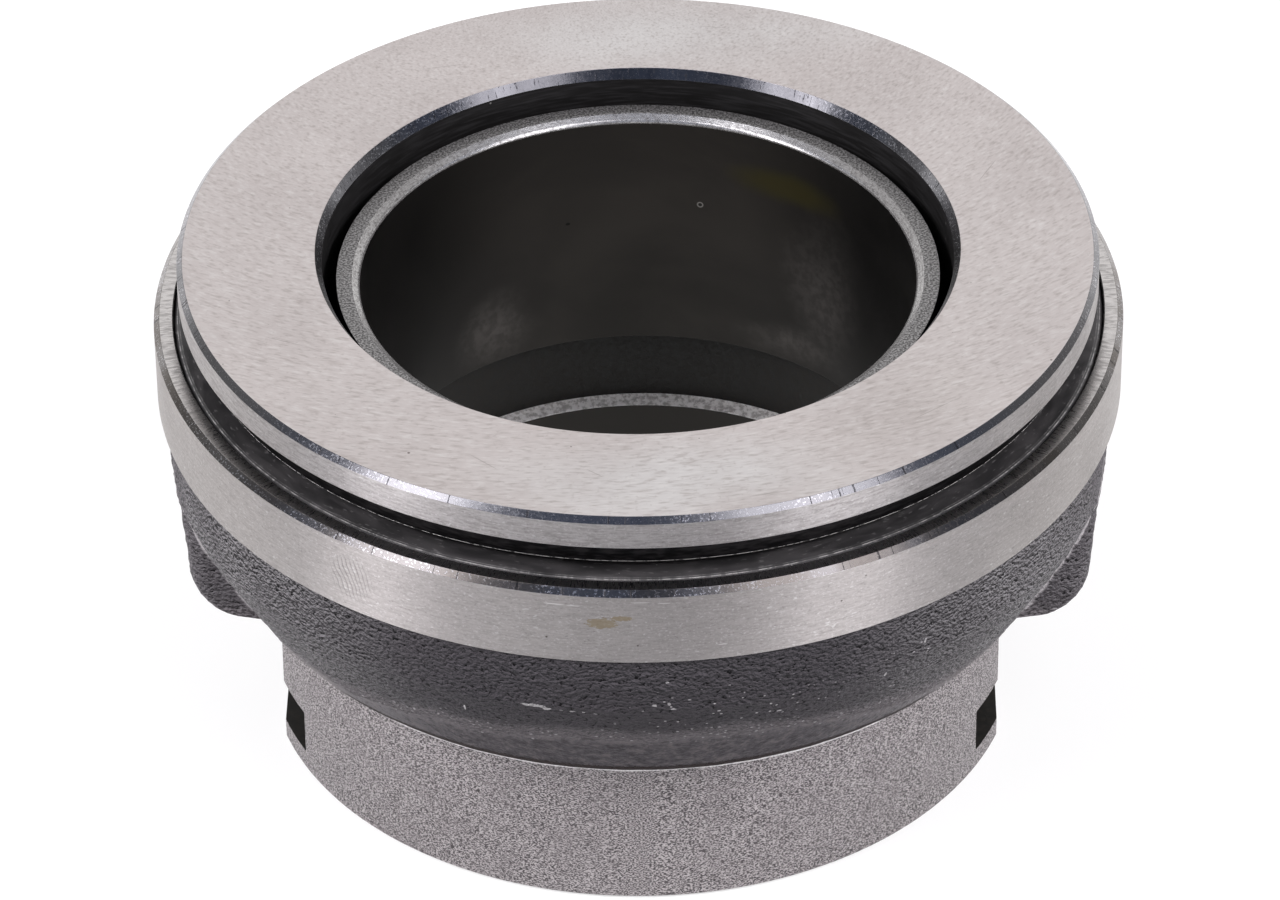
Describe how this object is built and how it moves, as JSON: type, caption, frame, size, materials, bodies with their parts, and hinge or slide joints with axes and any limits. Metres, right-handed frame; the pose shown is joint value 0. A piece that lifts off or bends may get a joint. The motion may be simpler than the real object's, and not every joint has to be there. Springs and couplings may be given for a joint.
{
  "type": "clutch release bearing",
  "caption": "Clutch release bearing: forged body with fork lugs and a guide bore, carrying a sealed ball bearing with a rotating flanged thrust ring.",
  "frame": {"origin": "centre of the bottom face of the body's tube, on the axis of the guide bore", "axes": "+Z along the guide bore from the gearbox end towards the thrust face; the two fork lugs lie on the X axis, and -Y faces the viewer of the picture"},
  "size_m": [0.1047, 0.1048, 0.0566],
  "materials": {
    "forged_body": "forged, part turned",
    "ground_ring": "ground",
    "bearing_steel": "ground",
    "ball_steel": "polished",
    "cage_brass": "turned",
    "seal_case": "phosphated",
    "seal_rubber": "matte"
  },
  "bodies": {
    "housing": {"release_body": "forged_body", "stationary_race": "bearing_steel", "outer_seal_case": "seal_case", "outer_seal_lip": "seal_rubber", "inner_seal_case": "seal_case", "inner_seal_lip": "seal_rubber"},
    "rotor": {"thrust_ring": "ground_ring"},
    "ball_set": {"ball_cage": "cage_brass", "ball_01": "ball_steel", "ball_02": "ball_steel", "ball_03": "ball_steel", "ball_04": "ball_steel", "ball_05": "ball_steel", "ball_06": "ball_steel", "ball_07": "ball_steel", "ball_08": "ball_steel", "ball_09": "ball_steel", "ball_10": "ball_steel", "ball_11": "ball_steel", "ball_12": "ball_steel", "ball_13": "ball_steel", "ball_14": "ball_steel", "ball_15": "ball_steel", "ball_16": "ball_steel", "ball_17": "ball_steel", "ball_18": "ball_steel", "ball_19": "ball_steel", "ball_20": "ball_steel"}
  },
  "joints": [
    {"name": "thrust_ring_spin", "type": "hinge", "parent": "housing", "child": "rotor", "pos_m": [0, 0, 0.04045], "axis": [0, 0, 1], "continuous": true},
    {"name": "cage_spin", "type": "hinge", "parent": "housing", "child": "ball_set", "pos_m": [0, 0, 0.04045], "axis": [0, 0, 1], "continuous": true}
  ],
  "couplings": [
    {"joint": "cage_spin", "follows": "thrust_ring_spin", "ratio": 0.4586}
  ]
}
